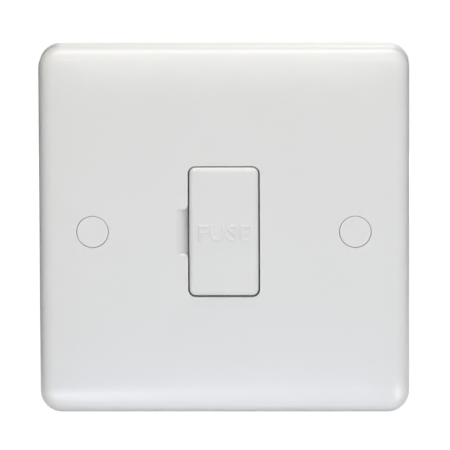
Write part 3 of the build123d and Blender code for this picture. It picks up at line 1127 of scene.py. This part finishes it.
@dataclass
class RearMoulding:
    """The rear moulding with its terminals, links, contacts and screws."""

    workshop: Workshop
    column_x: float = 15.1 * MM
    row_z: float = 21.7 * MM
    back_y: float = 12.55 * MM
    mark_height: float = 2.6 * MM
    mark_aspect: float = 0.72
    mark_drop: float = 6.4 * MM
    mark_rise: float = 0.2 * MM
    mark_stroke: float = -0.02
    mark_edge: float = 0.03
    pin_radius: float = 1.9 * MM
    pin_bead: float = 0.06 * MM
    pin_x: float = 9.0 * MM
    pin_z: float = 7.0 * MM

    def build(self) -> None:
        """Dresses the metal and the moulding, and adds the pole marks and the pins' rings."""
        self.workshop.dress("terminal_base", BASE_WHITE)
        for pole in Pole:
            for end in WireEnd:
                self.workshop.dress(f"{pole.name.lower()}_{end.name.lower()}_terminal", BLOCK_BRASS)
        for strip in ("live_supply_contact", "live_load_contact", "neutral_link", "earth_link"):
            self.workshop.dress(strip, STRIP_BRASS)
        for screws in ("terminal_screws", "base_screws"):
            self.workshop.dress(screws, ZINC_STEEL)
        self._marks()
        self._pins()

    def _marks(self) -> None:
        """Adds the pole letters beside the terminals."""
        material = self.workshop.material(BASE_WHITE)
        width = self.mark_aspect * self.mark_height
        for pole in Pole:
            for end in WireEnd:
                centre = (pole.side * self.column_x, end.value * (self.row_z - self.mark_drop))
                mark = RaisedWord(
                    pole.mark, width, self.mark_height, self.mark_rise, self.mark_stroke, self.mark_edge,
                    centre, self.back_y, front=False)
                name = f"{pole.name.lower()}_{end.name.lower()}_mark"
                place_piece(new_piece(name, mark.mesh(), material), Body.UNIT)

    def _pins(self) -> None:
        """Adds the rings of the tool's pins."""
        points = [(i * self.pin_x, self.back_y, k * self.pin_z) for i in SIDES for k in SIDES]
        rings = PinRings("rear_pin_rings", points, self.pin_radius, self.pin_bead)
        rings.build(self.workshop.material(BASE_WHITE), Slot.BASE)


@dataclass(frozen=True)
class Softbox:
    """One area lamp, with its place and size in metres and its power in watts."""

    name: str
    place: Point
    size: tuple[float, float]
    power: float
    colour: Colour
    aim: Point = (0.0, 0.0, 0.0)

    def build(self) -> None:
        """Adds the lamp, turned to its aim."""
        data = bpy.data.lights.new(self.name, "AREA")
        data.shape = "RECTANGLE"
        data.size, data.size_y = self.size
        data.energy = self.power
        data.color = self.colour
        lamp = bpy.data.objects.new(self.name, data)
        lamp.location = self.place
        lamp.visible_camera = False
        lamp.rotation_euler = (Vector(self.aim) - Vector(self.place)).to_track_quat("-Z", "Y").to_euler()
        bpy.context.scene.collection.objects.link(lamp)


# The strips and low_edge stand close to the plate and light its edges.
LAMPS = (
    Softbox("front_key", (0.20, -1.40, 0.30), (1.5, 0.30), power=5.7, colour=(0.97, 0.98, 0.985)),
    Softbox("upper_front", (0.05, -0.706, 0.376), (1.0, 0.2), power=0.80, colour=(0.97, 0.99, 0.94)),
    Softbox("over_front", (0.03, -0.447, 0.663), (1.0, 0.2), power=1.5, colour=(1.0, 0.93, 0.82)),
    Softbox("overhead", (0.03, -0.084, 0.796), (1.0, 0.2), power=3.6, colour=(1.0, 1.0, 0.97)),
    Softbox("over_back", (0.03, 0.139, 0.788), (1.0, 0.3), power=1.25, colour=(1.0, 0.95, 0.97)),
    Softbox("right_fill", (1.10, -0.80, 0.20), (0.4, 0.4), power=0.8, colour=(0.60, 0.70, 1.0)),
    Softbox("crown_strip", mm(0.0, -15.0, 40.5), mm(78.0, 0.3), power=0.00014, colour=(1.0, 0.99, 0.95),
            aim=mm(0.0, -8.0, 40.0)),
    Softbox("low_fill", (0.02, -0.17, -0.03), (0.26, 0.02), power=0.013, colour=(0.50, 0.70, 1.0)),
    Softbox("low_edge", mm(0.0, -22.0, -41.5), mm(85.0, 1.5), power=0.0007, colour=(0.20, 0.35, 1.0)),
    Softbox("edge_strip", mm(-1.75, -13.1, -38.5), mm(79.5, 0.3), power=0.00018, colour=(0.98, 0.98, 0.97),
            aim=mm(-0.9, 0.0, -38.5)),
    Softbox("corner_strip", mm(40.5, -10.25, -38.0), mm(0.3, 2.8), power=0.000008, colour=(1.0, 0.98, 0.97),
            aim=mm(40.1, -8.95, -38.0)),
    Softbox("rear_light", (0.25, 0.90, 0.55), (0.6, 0.4), power=1.4, colour=(1.0, 1.0, 0.95)),
    Softbox("rear_fill", (0.0, 0.40, -0.012), (0.07, 0.05), power=0.65, colour=(1.0, 1.0, 1.0)),
)


@dataclass(frozen=True)
class Flag:
    """A dark card that stands beside the plate, out of the camera's sight, and shades its flank."""

    name: str
    x: float
    near: float
    far: float = 0.45
    top: float = 0.35

    def corners(self, level: float) -> list[Point]:
        """Gives the card's corners.

        Args:
            level: The floor that it stands on.

        Returns:
            The four corners in order.
        """
        low, high = (self.x, self.near, level), (self.x, self.far, self.top)
        return [low, (self.x, self.far, level), high, (self.x, self.near, self.top)]


@dataclass(frozen=True)
class Studio:
    """Floor, flags, lamps and the light of the backdrop."""

    ambient: float = 0.01
    floor_half: float = 3.0
    floor_light: Colour = (0.86, 0.86, 0.86)
    floor_dark: Colour = (0.83, 0.83, 0.83)
    floor_grain: float = 260.0
    floor_glow: float = 1.09
    floor_shadow: float = 0.12
    flag_light: Colour = (0.03, 0.03, 0.03)
    flag_dark: Colour = (0.024, 0.024, 0.024)
    flag_grain: float = 90.0
    flag_roughness: float = 0.9
    flags: tuple[Flag, ...] = (Flag("flag_left", x=-0.075, near=-0.01), Flag("flag_right", x=0.14, near=0.02))
    lamps: tuple[Softbox, ...] = LAMPS

    def build(self) -> None:
        """Sets the whole studio."""
        bpy.context.scene.view_settings.view_transform = "Standard"
        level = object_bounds()[0].z
        self._world()
        self._floor(level)
        self._flags(level)
        for lamp in self.lamps:
            lamp.build()

    def _world(self) -> None:
        """Makes the world white to the eye and dim as a light."""
        world = bpy.data.worlds.new("studio")
        graph = ShaderGraph(world)
        sockets = {"Value": graph.seen(), "To Min": self.ambient, "To Max": 1.0}
        level = graph.add("MapRange", sockets).outputs["Result"]
        glow = graph.add("Background", {"Color": WHITE, "Strength": level})
        graph.add("OutputWorld", {"Surface": glow.outputs[0]})
        bpy.context.scene.world = world

    def _floor(self, level: float) -> None:
        """Lays a pale floor under the plate that keeps a soft shadow.

        Args:
            level: Its height.
        """
        graph = ShaderGraph.material("pale_floor")
        grain = graph.spread(graph.noise(graph.place(), self.floor_grain, detail=4.0), 0.0, 1.0)
        matt = graph.add("BsdfDiffuse", {"Color": graph.blend(grain, self.floor_light, self.floor_dark)})
        glow = graph.add("Emission", {"Color": WHITE, "Strength": self.floor_glow})
        share = graph.math("MULTIPLY", graph.seen(), 1.0 - self.floor_shadow)
        mixed = graph.add("MixShader", {0: share, 1: matt.outputs[0], 2: glow.outputs[0]})
        graph.add("OutputMaterial", {"Surface": mixed.outputs[0]})
        half = self.floor_half
        corners = [(-half, -half, level), (half, -half, level), (half, half, level), (-half, half, level)]
        self._card("floor", corners, graph.owner)

    def _flags(self, level: float) -> None:
        """Stands the dark flags beside the plate.

        Args:
            level: The floor.
        """
        graph = ShaderGraph.material("dark_flag")
        grain = graph.spread(graph.noise(graph.place(), self.flag_grain, detail=3.0), 0.0, 1.0)
        tint = graph.blend(grain, self.flag_light, self.flag_dark)
        material = graph.finish({"Base Color": tint, "Roughness": self.flag_roughness})
        for flag in self.flags:
            card = self._card(flag.name, flag.corners(level), material)
            card.visible_camera = False

    def _card(self, name: str, corners: list[Point], material: bpy.types.Material) -> bpy.types.Object:
        """Adds one flat card to the stage.

        Args:
            name: The card's name.
            corners: Its four corners.
            material: Its material.

        Returns:
            The card.
        """
        mesh = bpy.data.meshes.new(name)
        mesh.from_pydata(corners, [], [(0, 1, 2, 3)])
        card = new_piece(name, mesh, material)
        card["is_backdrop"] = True
        return card


@dataclass(frozen=True)
class Viewpoint:
    """The camera at the photograph's viewing angle, with its focal length in the photograph's pixels."""

    distance: float = 1.8
    height_deg: float = 9.0
    pan_deg: float = 1.25
    roll_deg: float = -0.227
    focal_px: float = 7806.0
    frame_px: float = 450.0
    aim_px: tuple[float, float] = (0.24, 0.45)
    sensor_mm: float = 36.0
    clip_start: float = 0.01
    clip_end: float = 50.0

    def build(self) -> None:
        """Places the camera and makes it the scene's."""
        data = bpy.data.cameras.new("camera")
        data.sensor_width = self.sensor_mm
        data.lens = self.focal_px / self.frame_px * self.sensor_mm
        data.clip_start, data.clip_end = self.clip_start, self.clip_end
        camera = bpy.data.objects.new("camera", data)
        bpy.context.scene.collection.objects.link(camera)
        tilt, pan = math.radians(self.height_deg), math.radians(self.pan_deg)
        level = math.cos(tilt)
        back = Vector((math.sin(pan) * level, -math.cos(pan) * level, math.sin(tilt)))
        roll = Matrix.Rotation(math.radians(self.roll_deg), 3, "Z")
        turn = (-back).to_track_quat("-Z", "Y").to_matrix() @ roll
        pixel = self.distance / self.focal_px
        nudge = turn @ Vector((self.aim_px[0] * pixel, self.aim_px[1] * pixel, 0.0))
        camera.matrix_world = Matrix.Translation(back * self.distance + nudge) @ turn.to_4x4()
        bpy.context.scene.camera = camera


def main() -> None:
    """Builds the unit and its studio."""
    logging.basicConfig(level=logging.INFO, format="%(name)s: %(message)s")
    workshop = Workshop()
    for assembly in (FrontPlate(workshop), Carrier(workshop), FixingScrews(workshop), RearMoulding(workshop)):
        assembly.build()
    Studio().build()
    Viewpoint().build()


if __name__ == "__main__":
    main()
